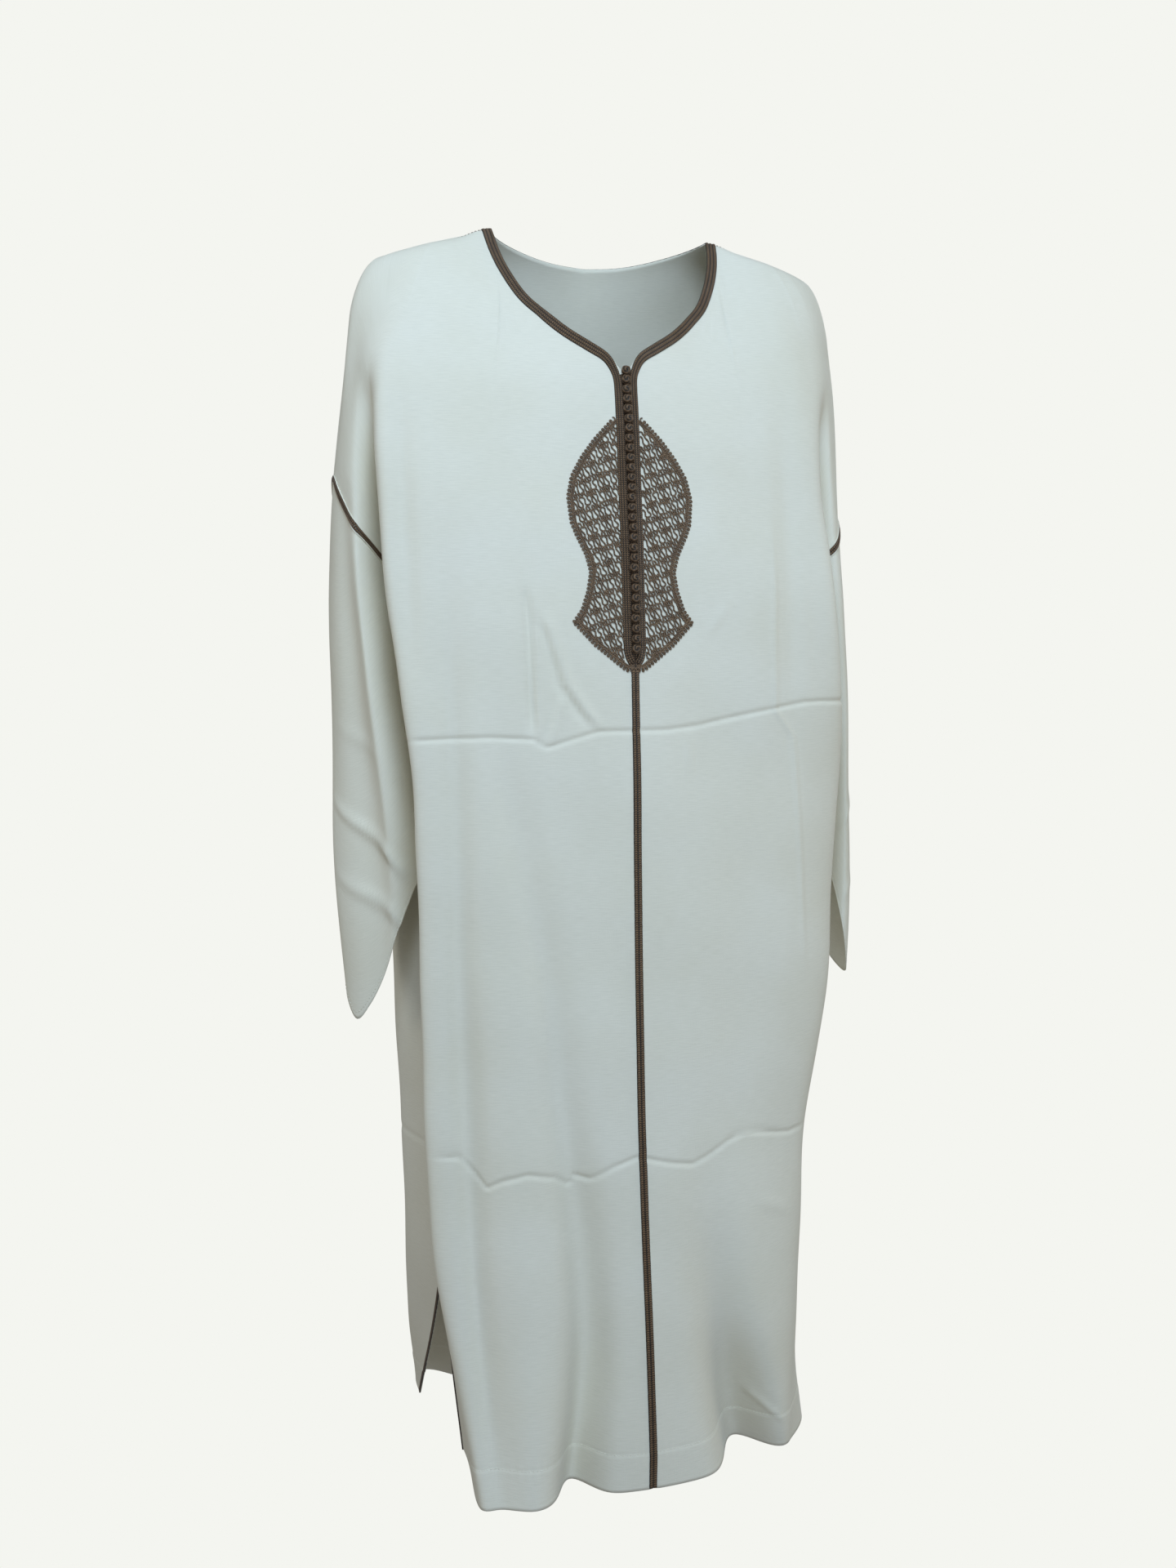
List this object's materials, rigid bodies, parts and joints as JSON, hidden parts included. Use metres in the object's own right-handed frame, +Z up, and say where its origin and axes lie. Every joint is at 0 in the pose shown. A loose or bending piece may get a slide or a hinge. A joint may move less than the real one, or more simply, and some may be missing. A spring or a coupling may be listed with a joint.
{
  "type": "djellaba robe",
  "caption": "Long hoodless djellaba robe in cream cloth, worn form, with brown braided neck, knotted buttons, chest medallion and side slits.",
  "frame": {"origin": "midway between the two shoulder points of the neck, where the wearer's shoulders hold the robe up", "axes": "+Z up, -Y towards the front of the robe, -X towards the wearer's right"},
  "size_m": [0.619, 0.3505, 1.3718],
  "materials": {
    "cloth": "matte woven cream cloth with fine horizontal slubs and pressed creases",
    "braid": "brown silky braid in raised ribs",
    "button": "brown silky cord knotted into a ball",
    "couching": "dark brown twisted cord sewn down in curls"
  },
  "bodies": {
    "root": {"front_right": "cloth", "front_left": "cloth", "back": "cloth", "sleeve_right": "cloth", "sleeve_left": "cloth", "neck_braid_right": "braid", "neck_braid_left": "braid", "neck_braid_back": "braid", "front_braid": "braid", "armhole_braid_right": "braid", "armhole_braid_left": "braid", "slit_trim_front_right": "braid", "slit_trim_front_left": "braid", "slit_trim_back_right": "braid", "slit_trim_back_left": "braid", "medallion_right": "couching", "medallion_left": "couching", "button_01": "button", "button_02": "button", "button_03": "button", "button_04": "button", "button_05": "button", "button_06": "button", "button_07": "button", "button_08": "button", "button_09": "button", "button_10": "button", "button_11": "button", "button_12": "button", "button_13": "button", "button_14": "button", "button_15": "button", "button_16": "button", "button_17": "button", "button_18": "button", "button_19": "button", "button_20": "button", "button_21": "button", "button_22": "button", "button_23": "button", "button_24": "button", "button_25": "button", "button_26": "button", "button_27": "button", "button_28": "button", "button_29": "button"}
  },
  "joints": []
}
